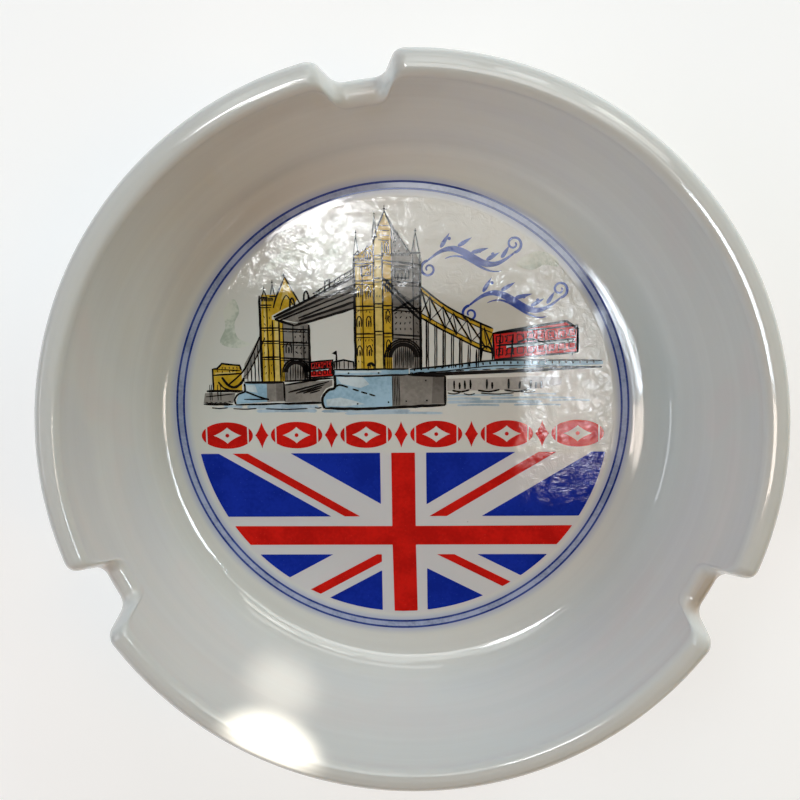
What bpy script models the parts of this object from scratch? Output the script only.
"""Souvenir smoker's dish: one glazed porcelain body and the fired enamel print on its floor.

Run with blender --background --python part.py, or from Blender's text editor.
The origin is the centre of the foot ring's resting plane, +Z up. The print's top is towards +Y.
"""

import math

import bmesh
import bpy
from mathutils import Vector

MM = 0.001

# ---- Driving dimensions, in millimetres ----

# Bowl, from the inside out
FLOOR_RADIUS = 51.2  # flat floor, up to where the fillet starts
FLOOR_FILLET = 6.5  # between floor and wall
BOWL_FLARE = 13.6  # how much wider the bowl is at the lip than at the flat floor
BOWL_DEPTH = 26.3  # floor to lip top
LIP_WIDTH = 5.2
LIP_INNER_ROUND = 1.0
LIP_OUTER_ROUND = 1.8
BASE_THICKNESS = 4.4
WALL_BASE_FLARE = 9.2  # how far the outer wall's foot stands out past the flat floor
WALL_BASE_RISE = 1.5  # height of the outer wall's foot above the floor

# Foot ring, unglazed on its resting face
FOOT_OUTSET = 3.4  # outer edge of the ring, out from the edge of the flat floor
FOOT_WIDTH = 3.4
FOOT_HEIGHT = 1.8
FOOT_CHAMFER = 0.5

# Cigarette rests cut down into the lip
REST_AZIMUTHS = (97.7, 207.6, 332.6)  # degrees from +X
REST_BOTTOM_WIDTH = 8.8
REST_TOP_WIDTH = 14.0
REST_DEPTH = 7.2
REST_BOTTOM_ROUND = 2.2
CUT_OVERRUN = 6.0  # how far a cutter runs past what it cuts

# Print: flat enamel films on the floor
PRINT_OFFSET = (-1.9, 1.67)  # print's centre from the dish's axis
PRINT_TURN = 0.8  # degrees anticlockwise
PRINT_CLEARANCE = 0.3  # flat floor left outside the border at its nearest point
FILM_THICKNESS = 0.25
FILM_GAP = 0.3  # between the floor and the films, and between one film and the next

# Border: two fine lines with a tinted band between them
LINE_WIDTH = 0.4
BORDER_WIDTH = 1.85
BORDER_MARGIN = 2.15  # white between the border and the artwork

# Artwork: the flag, the frieze and the picture, drawn inside a circle of this many artwork units
# about the print's centre and scaled to the circle that the border leaves
ARTWORK_RADIUS = 44.4

# Flag, artwork units: the part of that circle under a straight top edge
FLAG_TOP = -8.7
FLAG_CENTRE = (0.35, -27.1)
UPRIGHT_WIDTH = 5.1
BAR_HEIGHT = 4.2
UPRIGHT_MARGIN = 2.4  # white beside the upright
BAR_MARGIN = 2.2  # white above and below the bar
# For each quarter: slope of its diagonal, and where the outer field, the red stripe's two edges
# and the inner field begin, measured across the diagonal from the flag's centre
DIAGONALS = {
    "upper_left": (-1, 1, 0.585, (-4.3, -2.8, -1.1, 3.6)),
    "upper_right": (1, 1, 0.600, (-5.0, -1.1, 0.85, 3.4)),
    "lower_left": (-1, -1, 0.540, (-3.65, 0.95, 2.9, 4.65)),
    "lower_right": (1, -1, 0.510, (-3.4, -1.13, 0.6, 4.4)),
}

# Frieze of beads and darts from side to side above the flag, artwork units
FRIEZE_HEIGHT = 5.8
FRIEZE_LIFT = 1.1  # above the flag
FRIEZE_INSET = 0.6  # at its two ends
BEAD_COUNT = 6
DART_WIDTH = 2.9
DART_GAP = 0.5  # between a dart and each bead beside it

# Round outlines
TURNS = 72  # facets round the dish, a multiple of 4
RING_STEPS = 72
BLOB_STEPS = 28

# ---- Sizes worked out from the above ----
FLOOR_Z = FOOT_HEIGHT + BASE_THICKNESS
LIP_Z = FLOOR_Z + BOWL_DEPTH
LIP_INNER_RADIUS = FLOOR_RADIUS + BOWL_FLARE
RIM_RADIUS = LIP_INNER_RADIUS + LIP_WIDTH
FOOT_OUTER_RADIUS = FLOOR_RADIUS + FOOT_OUTSET
PRINT_RADIUS = FLOOR_RADIUS - PRINT_CLEARANCE - math.hypot(*PRINT_OFFSET)
ART = (PRINT_RADIUS - BORDER_WIDTH - BORDER_MARGIN) / ARTWORK_RADIUS  # millimetres in an artwork unit
FILM_Z = FLOOR_Z + FILM_GAP + FILM_THICKNESS / 2
FRIEZE_MIDDLE = FLAG_TOP + FRIEZE_LIFT + FRIEZE_HEIGHT / 2

# ---- Colours, sRGB ----
COLOURS = {
    "porcelain": ((232, 233, 228), 0.10),
    "cobalt_line": ((50, 70, 150), 0.18),
    "cobalt_tint": ((140, 160, 205), 0.18),
    "enamel_red": ((190, 22, 24), 0.20),
    "enamel_blue": ((18, 32, 128), 0.20),
    "enamel_ochre": ((200, 165, 45), 0.24),
    "enamel_grey": ((120, 115, 108), 0.24),
    "enamel_pale_blue": ((150, 185, 205), 0.24),
    "enamel_green": ((190, 200, 180), 0.24),
    "enamel_black": ((25, 22, 22), 0.24),
}

# ---- Picture areas, artwork units: node, colour, outline ----
PICTURE = (
    ("near_tower_front", "enamel_ochre",
     ((-9.4, 9.5), (-1.8, 9.5), (-1.8, 39.6), (-2.9, 42.2), (-4.6, 38.4), (-5.6, 35.4), (-9.4, 33.0))),
    ("near_tower_side", "enamel_grey",
     ((-1.4, 9.5), (4.4, 9.5), (4.4, 31.6), (3.7, 33.4), (3.2, 37.6), (2.6, 33.6), (1.2, 34.6),
      (-0.2, 38.0), (-1.4, 39.2))),
    ("far_tower_front", "enamel_ochre",
     ((-29.5, 7.0), (-25.0, 7.0), (-25.0, 19.8), (-27.0, 20.2), (-27.0, 21.0), (-22.0, 23.5),
      (-21.5, 24.4), (-24.0, 29.0), (-25.9, 25.4), (-29.1, 25.4))),
    ("far_tower_side", "enamel_grey",
     ((-24.6, 7.0), (-19.4, 7.0), (-19.4, 18.8), (-20.8, 18.8), (-24.6, 19.6))),
    ("high_walkway", "enamel_grey",
     ((-26.4, 20.5), (-20.8, 19.3), (-9.8, 22.4), (-9.8, 29.0))),
    ("near_chain", "enamel_ochre",
     ((4.8, 26.4), (4.8, 20.2), (12.0, 16.0), (17.1, 13.4), (19.0, 12.6), (19.0, 18.1), (16.8, 19.0),
      (11.2, 21.8))),
    ("far_chain", "enamel_grey",
     ((-29.9, 17.0), (-33.2, 10.8), (-33.5, 7.6), (-32.6, 7.6), (-32.0, 9.6), (-29.9, 13.6))),
    ("road_deck", "enamel_pale_blue",
     ((2.0, 9.1), (2.0, 8.6), (27.4, 9.5), (42.4, 10.0), (42.4, 10.7), (19.6, 10.7), (4.8, 9.2))),
    ("deck_girder", "enamel_black",
     ((2.0, 8.2), (9.8, 7.9), (27.4, 8.4), (42.4, 9.3), (42.4, 9.6), (27.4, 9.1))),
    ("near_pier_cap", "enamel_pale_blue",
     ((-14.0, 9.1), (-14.0, 8.4), (1.6, 8.4), (1.6, 9.1))),
    ("near_pier_light", "enamel_pale_blue",
     ((-13.9, 8.0), (-14.0, 5.6), (-15.6, 4.9), (-16.6, 3.4), (-16.4, 1.2), (-2.0, 1.2), (-2.0, 8.0))),
    ("near_pier_shade", "enamel_grey",
     ((-1.6, 8.0), (-1.6, 1.2), (9.3, 1.6), (9.3, 7.5), (1.6, 7.5))),
    ("far_pier_light", "enamel_pale_blue",
     ((-33.3, 6.5), (-33.3, 4.8), (-34.8, 4.2), (-35.4, 2.2), (-28.6, 2.6), (-28.6, 6.5))),
    ("far_pier_shade", "enamel_grey",
     ((-28.2, 6.5), (-28.2, 2.6), (-25.2, 2.7), (-25.2, 6.5))),
    ("roadway", "enamel_grey",
     ((-24.8, 6.4), (-24.8, 2.6), (-17.1, 2.6), (-17.1, 3.6), (-16.0, 5.3), (-14.5, 6.0), (-14.5, 7.2))),
    ("quay", "enamel_grey",
     ((-42.0, 4.6), (-42.0, 2.6), (-36.2, 2.6), (-35.6, 4.6))),
    ("quay_house", "enamel_ochre",
     ((-40.1, 5.0), (-33.9, 5.0), (-33.9, 9.6), (-34.3, 10.4), (-38.1, 10.8), (-39.0, 9.8), (-40.1, 9.8))),
    ("far_bus", "enamel_red",
     ((-19.0, 7.7), (-14.5, 7.9), (-14.5, 11.4), (-19.0, 11.0))),
    ("near_bus", "enamel_red",
     ((19.5, 16.7), (19.8, 11.2), (37.2, 12.6), (37.2, 17.4), (34.9, 19.0), (28.2, 18.0))),
    ("domed_hall", "enamel_pale_blue",
     ((-14.1, 9.5), (-9.8, 9.5), (-9.8, 11.0), (-12.0, 11.8), (-14.1, 11.2))),
    ("embankment", "enamel_grey",
     ((9.9, 7.2), (9.9, 4.3), (27.9, 4.4), (34.0, 5.6), (34.0, 7.6), (27.9, 7.8))),
    ("river_right", "enamel_pale_blue",
     ((9.9, 3.9), (9.9, 1.6), (38.0, 1.6), (40.8, 3.2), (28.0, 3.9))),
    ("river_front", "enamel_pale_blue",
     ((-34.0, 1.8), (-30.0, 0.2), (9.0, 0.2), (9.0, 0.8), (-16.9, 0.8), (-17.3, 2.2))),
)

# Clouds: node, centre, half width and half height, artwork units
CLOUDS = (
    ("cloud_left", (-35.8, 19.5), (2.2, 5.0)),
    ("cloud_high", (-20.0, 34.4), (8.0, 3.4)),
    ("cloud_right", (29.0, 31.4), (3.6, 2.0)),
)

# Flourishes: node, left end, right end, height of the wave and its widest stroke, artwork units
FLOURISHES = (
    ("flourish_upper", (6.0, 32.0), (24.0, 33.4), 2.6, 1.3),
    ("flourish_lower", (14.6, 22.6), (33.6, 24.0), 2.8, 1.4),
)


def clear_scene():
    for thing in list(bpy.data.objects):
        bpy.data.objects.remove(thing, do_unlink=True)


def collection(name):
    made = bpy.data.collections.new(name)
    bpy.context.scene.collection.children.link(made)
    return made


def linear(channel):
    share = channel / 255
    return share / 12.92 if share <= 0.04045 else ((share + 0.055) / 1.055) ** 2.4


def material(node, colour):
    """One Principled material for one node."""
    srgb, roughness = COLOURS[colour]
    made = bpy.data.materials.new(node)
    made.use_nodes = True
    shader = made.node_tree.nodes["Principled BSDF"]
    shader.inputs["Base Color"].default_value = (*(linear(channel) for channel in srgb), 1.0)
    shader.inputs["Roughness"].default_value = roughness
    shader.inputs["Metallic"].default_value = 0.0
    return made


# ---- Body ----

def arc(centre, radius, start, end, steps):
    """Points on an arc in degrees, both ends included."""
    angles = (math.radians(start + (end - start) * step / steps) for step in range(steps + 1))
    return [(centre[0] + radius * math.cos(a), centre[1] + radius * math.sin(a)) for a in angles]


def bowl_points():
    """Inside of the bowl, from the axis outwards and up to the lip: floor, fillet, straight wall."""
    fillet_centre = (FLOOR_RADIUS, FLOOR_Z + FLOOR_FILLET)
    edge = (LIP_INNER_RADIUS, LIP_Z - LIP_INNER_ROUND)
    # The wall is the tangent from the lip's inner edge to the fillet's circle
    across = edge[0] - fillet_centre[0]
    up = edge[1] - fillet_centre[1]
    reach = math.hypot(across, up)
    touch = math.degrees(math.atan2(up, across)) - math.degrees(math.acos(FLOOR_FILLET / reach))
    fillet = arc(fillet_centre, FLOOR_FILLET, -90, touch, 7)
    inner_round = arc((edge[0] + LIP_INNER_ROUND, edge[1]), LIP_INNER_ROUND, 180, 90, 3)
    return [(0.0, FLOOR_Z), *fillet, *inner_round]


def outer_points():
    """Over the lip, down the outer wall and under the base, back to the axis."""
    outer_round = arc((RIM_RADIUS - LIP_OUTER_ROUND, LIP_Z - LIP_OUTER_ROUND), LIP_OUTER_ROUND, 90, 0, 5)
    wall_foot = Vector((FLOOR_RADIUS + WALL_BASE_FLARE, FLOOR_Z + WALL_BASE_RISE))
    knee = Vector((FOOT_OUTER_RADIUS + FOOT_WIDTH, FOOT_HEIGHT))
    foot_root = Vector((FOOT_OUTER_RADIUS + FOOT_CHAMFER, FOOT_HEIGHT))
    under = []
    for step in range(6):
        t = step / 5
        point = wall_foot * (1 - t) ** 2 + knee * 2 * t * (1 - t) + foot_root * t**2
        under.append((point.x, point.y))
    foot = [
        (FOOT_OUTER_RADIUS, FOOT_CHAMFER),
        (FOOT_OUTER_RADIUS - FOOT_CHAMFER, 0.0),
        (FOOT_OUTER_RADIUS - FOOT_WIDTH + FOOT_CHAMFER, 0.0),
        (FOOT_OUTER_RADIUS - FOOT_WIDTH, FOOT_CHAMFER),
        (FOOT_OUTER_RADIUS - FOOT_WIDTH - FOOT_CHAMFER, FOOT_HEIGHT),
    ]
    return [*outer_round, *under, *foot, (0.0, FOOT_HEIGHT)]


def turned(name, profile, steps, into):
    """A solid of revolution about Z from a profile in millimetres."""
    mesh = bpy.data.meshes.new(name)
    points = [(radius * MM, 0.0, height * MM) for radius, height in profile]
    mesh.from_pydata(points, [(i, i + 1) for i in range(len(points) - 1)], [])
    made = bpy.data.objects.new(name, mesh)
    into.objects.link(made)
    screw = made.modifiers.new("turn", "SCREW")
    screw.axis = "Z"
    screw.angle = math.tau
    screw.steps = steps
    screw.render_steps = steps
    screw.use_merge_vertices = True
    screw.merge_threshold = 0.00005
    screw.use_smooth_shade = True
    return made


def rest_cutter(name, azimuth, into):
    """A trough across the wall: flat bottom, rounded corners, sides that open upwards."""
    widening = (REST_TOP_WIDTH - REST_BOTTOM_WIDTH) / REST_DEPTH
    tall = REST_DEPTH + CUT_OVERRUN
    inner = FLOOR_RADIUS - CUT_OVERRUN
    outer = RIM_RADIUS + CUT_OVERRUN
    solid = bmesh.new()
    bmesh.ops.create_cube(solid, size=1.0)
    for vertex in solid.verts:
        top = vertex.co.z > 0
        width = REST_BOTTOM_WIDTH + (widening * tall if top else 0.0)
        vertex.co.x = inner if vertex.co.x < 0 else outer
        vertex.co.y = math.copysign(width / 2, vertex.co.y)
        vertex.co.z = tall if top else 0.0
    bottom = [
        edge for edge in solid.edges
        if all(v.co.z < tall / 2 for v in edge.verts) and abs(edge.verts[0].co.y - edge.verts[1].co.y) < 1e-6
    ]
    bmesh.ops.bevel(
        solid, geom=bottom, offset=REST_BOTTOM_ROUND, segments=4, profile=0.5, affect="EDGES", clamp_overlap=True
    )
    bmesh.ops.scale(solid, vec=(MM, MM, MM), verts=solid.verts)
    mesh = bpy.data.meshes.new(name)
    solid.to_mesh(mesh)
    solid.free()
    made = bpy.data.objects.new(name, mesh)
    made.rotation_euler.z = math.radians(azimuth)
    made.location.z = (LIP_Z - REST_DEPTH) * MM
    made.hide_render = True
    made.display_type = "WIRE"
    into.objects.link(made)
    return made


def dish_body(parts, cutters):
    body = turned("dish_body", bowl_points() + outer_points(), TURNS, parts)
    for number, azimuth in enumerate(REST_AZIMUTHS, start=1):
        cut = body.modifiers.new(f"rest_{number}", "BOOLEAN")
        cut.operation = "DIFFERENCE"
        cut.solver = "EXACT"
        cut.object = rest_cutter(f"rest_cutter_{number}", azimuth, cutters)
    body.data.materials.append(material("dish_body", "porcelain"))
    return body


# ---- Print ----

def circle(radius, steps, centre=(0.0, 0.0)):
    return arc(centre, radius, 0, 360, steps)[:-1]


def ellipse(centre, half_width, half_height, steps):
    return [(centre[0] + half_width * x, centre[1] + half_height * y) for x, y in circle(1.0, steps)]


def cut_to(outline, origin, normal):
    """The part of an outline on the side of a line that its normal points to."""
    def side(point):
        return (point[0] - origin[0]) * normal[0] + (point[1] - origin[1]) * normal[1]

    kept = []
    for here, after in zip(outline, outline[1:] + outline[:1]):
        near, far = side(here), side(after)
        if near >= 0:
            kept.append(here)
        if near * far < 0:
            share = near / (near - far)
            kept.append((here[0] + (after[0] - here[0]) * share, here[1] + (after[1] - here[1]) * share))
    return kept


def inside_circle(outline, radius, steps):
    """An outline cut to a circle about the print's centre."""
    for step in range(steps):
        angle = math.tau * (step + 0.5) / steps
        outward = (math.cos(angle), math.sin(angle))
        reach = radius * math.cos(math.pi / steps)
        outline = cut_to(outline, (outward[0] * reach, outward[1] * reach), (-outward[0], -outward[1]))
    return outline


def film(name, colour, outlines, datum, into, unit=ART):
    """A flat enamel film: its outer outline first, then any holes."""
    curve = bpy.data.curves.new(name, "CURVE")
    curve.dimensions = "2D"
    curve.fill_mode = "BOTH"
    curve.extrude = FILM_THICKNESS / 2 * MM
    for outline in outlines:
        spline = curve.splines.new("POLY")
        spline.points.add(len(outline) - 1)
        for point, (x, y) in zip(spline.points, outline):
            point.co = (x * unit * MM, y * unit * MM, 0.0, 1.0)
        spline.use_cyclic_u = True
    made = bpy.data.objects.new(name, curve)
    made.parent = datum
    made.data.materials.append(material(name, colour))
    into.objects.link(made)
    return made


def print_datum(into):
    """Centre of the print, at mid thickness of its films."""
    datum = bpy.data.objects.new("print_datum", None)
    datum.location = (PRINT_OFFSET[0] * MM, PRINT_OFFSET[1] * MM, FILM_Z * MM)
    datum.rotation_euler.z = math.radians(PRINT_TURN)
    into.objects.link(datum)
    return datum


def border(datum, into):
    """Two fine lines with a tinted band between them, in millimetres."""
    outer_line = (PRINT_RADIUS - LINE_WIDTH, PRINT_RADIUS)
    inner_line = (PRINT_RADIUS - BORDER_WIDTH, PRINT_RADIUS - BORDER_WIDTH + LINE_WIDTH)
    band = (inner_line[1] + FILM_GAP, outer_line[0] - FILM_GAP)
    for name, colour, (inner, outer) in (
        ("border_line_outer", "cobalt_line", outer_line),
        ("border_band", "cobalt_tint", band),
        ("border_line_inner", "cobalt_line", inner_line),
    ):
        rings = [circle(outer, RING_STEPS), circle(inner, RING_STEPS)]
        film(name, colour, rings, datum, into, unit=1.0)


def flag_cross(datum, into):
    left, right = (FLAG_CENTRE[0] + side * UPRIGHT_WIDTH / 2 for side in (-1, 1))
    low, high = (FLAG_CENTRE[1] + side * BAR_HEIGHT / 2 for side in (-1, 1))
    far = ARTWORK_RADIUS * 1.2
    outline = [
        (left, FLAG_TOP), (left, high), (-far, high), (-far, low), (left, low), (left, -far),
        (right, -far), (right, low), (far, low), (far, high), (right, high), (right, FLAG_TOP),
    ]
    film("flag_cross", "enamel_red", [inside_circle(outline, ARTWORK_RADIUS, RING_STEPS)], datum, into)


def flag_quarter(name, across, up, slope, edges, datum, into):
    """Two blue fields and the red stripe between them in one quarter of the flag."""
    length = math.hypot(1.0, slope)
    # Across the diagonal, towards the field that lies next to the upright
    normal = (-across * slope / length, up / length)
    outer_edge, red_low, red_high, inner_edge = edges
    disc = inside_circle(circle(ARTWORK_RADIUS * 1.2, RING_STEPS), ARTWORK_RADIUS, RING_STEPS)
    quarter = cut_to(disc, (0.0, FLAG_TOP), (0.0, -1.0))
    beside_bar = (0.0, FLAG_CENTRE[1] + up * (BAR_HEIGHT / 2 + BAR_MARGIN))
    quarter = cut_to(quarter, beside_bar, (0.0, up))
    beside_upright = (FLAG_CENTRE[0] + across * (UPRIGHT_WIDTH / 2 + UPRIGHT_MARGIN), 0.0)
    quarter = cut_to(quarter, beside_upright, (across, 0.0))

    def across_diagonal(offset):
        return (FLAG_CENTRE[0] + normal[0] * offset, FLAG_CENTRE[1] + normal[1] * offset)

    away = (-normal[0], -normal[1])
    outer_field = cut_to(quarter, across_diagonal(outer_edge), away)
    inner_field = cut_to(quarter, across_diagonal(inner_edge), normal)
    stripe = cut_to(cut_to(quarter, across_diagonal(red_low), normal), across_diagonal(red_high), away)
    film(f"flag_{name}_outer_field", "enamel_blue", [outer_field], datum, into)
    film(f"flag_{name}_inner_field", "enamel_blue", [inner_field], datum, into)
    film(f"flag_{name}_stripe", "enamel_red", [stripe], datum, into)


def frieze(datum, into):
    """A row of beads with a dart between each two, as wide as the artwork's circle allows."""
    half = FRIEZE_HEIGHT / 2
    middle_y = FRIEZE_MIDDLE
    furthest = max(abs(middle_y - half), abs(middle_y + half))
    span = 2 * (math.sqrt(ARTWORK_RADIUS**2 - furthest**2) - FRIEZE_INSET)
    between = DART_WIDTH + 2 * DART_GAP
    bead_width = (span - (BEAD_COUNT - 1) * between) / BEAD_COUNT
    pitch = bead_width + between
    for number in range(BEAD_COUNT):
        x = (number - (BEAD_COUNT - 1) / 2) * pitch
        bead = ellipse((x, middle_y), bead_width / 2, half, BLOB_STEPS)
        film(f"frieze_bead_{number + 1}", "enamel_red", [bead], datum, into)
    waist = DART_WIDTH / 6
    for number in range(BEAD_COUNT - 1):
        x = (number - (BEAD_COUNT - 2) / 2) * pitch
        dart = [
            (x + DART_WIDTH / 2, middle_y), (x + waist, middle_y + waist), (x, middle_y + half),
            (x - waist, middle_y + waist), (x - DART_WIDTH / 2, middle_y), (x - waist, middle_y - waist),
            (x, middle_y - half), (x + waist, middle_y - waist),
        ]
        film(f"frieze_dart_{number + 1}", "enamel_red", [dart], datum, into)


def cloud(centre, half_width, half_height):
    """A soft lobed outline."""
    outline = []
    for x, y in circle(1.0, BLOB_STEPS):
        lobe = 0.88 + 0.12 * math.cos(5 * math.atan2(y, x) + 0.6)
        outline.append((centre[0] + half_width * x * lobe, centre[1] + half_height * y * lobe))
    return outline


def flourish(left, right, rise, stroke):
    """One wave of a pen, thin at both ends and broad between."""
    steps = 24
    upper, lower = [], []
    for step in range(steps + 1):
        t = step / steps
        x = left[0] + (right[0] - left[0]) * t
        y = left[1] + (right[1] - left[1]) * t + rise * math.sin(math.tau * t)
        half = stroke / 2 * (0.25 + 0.75 * math.sin(math.pi * t))
        upper.append((x, y + half))
        lower.append((x, y - half))
    return upper + lower[::-1]


def build():
    clear_scene()
    parts = collection("souvenir_dish")
    cutters = collection("cutters")
    dish_body(parts, cutters)
    datum = print_datum(parts)
    border(datum, parts)
    flag_cross(datum, parts)
    for name, (across, up, slope, edges) in DIAGONALS.items():
        flag_quarter(name, across, up, slope, edges, datum, parts)
    frieze(datum, parts)
    for name, colour, outline in PICTURE:
        film(name, colour, [list(outline)], datum, parts)
    for name, centre, (half_width, half_height) in CLOUDS:
        film(name, "enamel_green", [cloud(centre, half_width, half_height)], datum, parts)
    for name, left, right, rise, stroke in FLOURISHES:
        film(name, "cobalt_line", [flourish(left, right, rise, stroke)], datum, parts)


build()
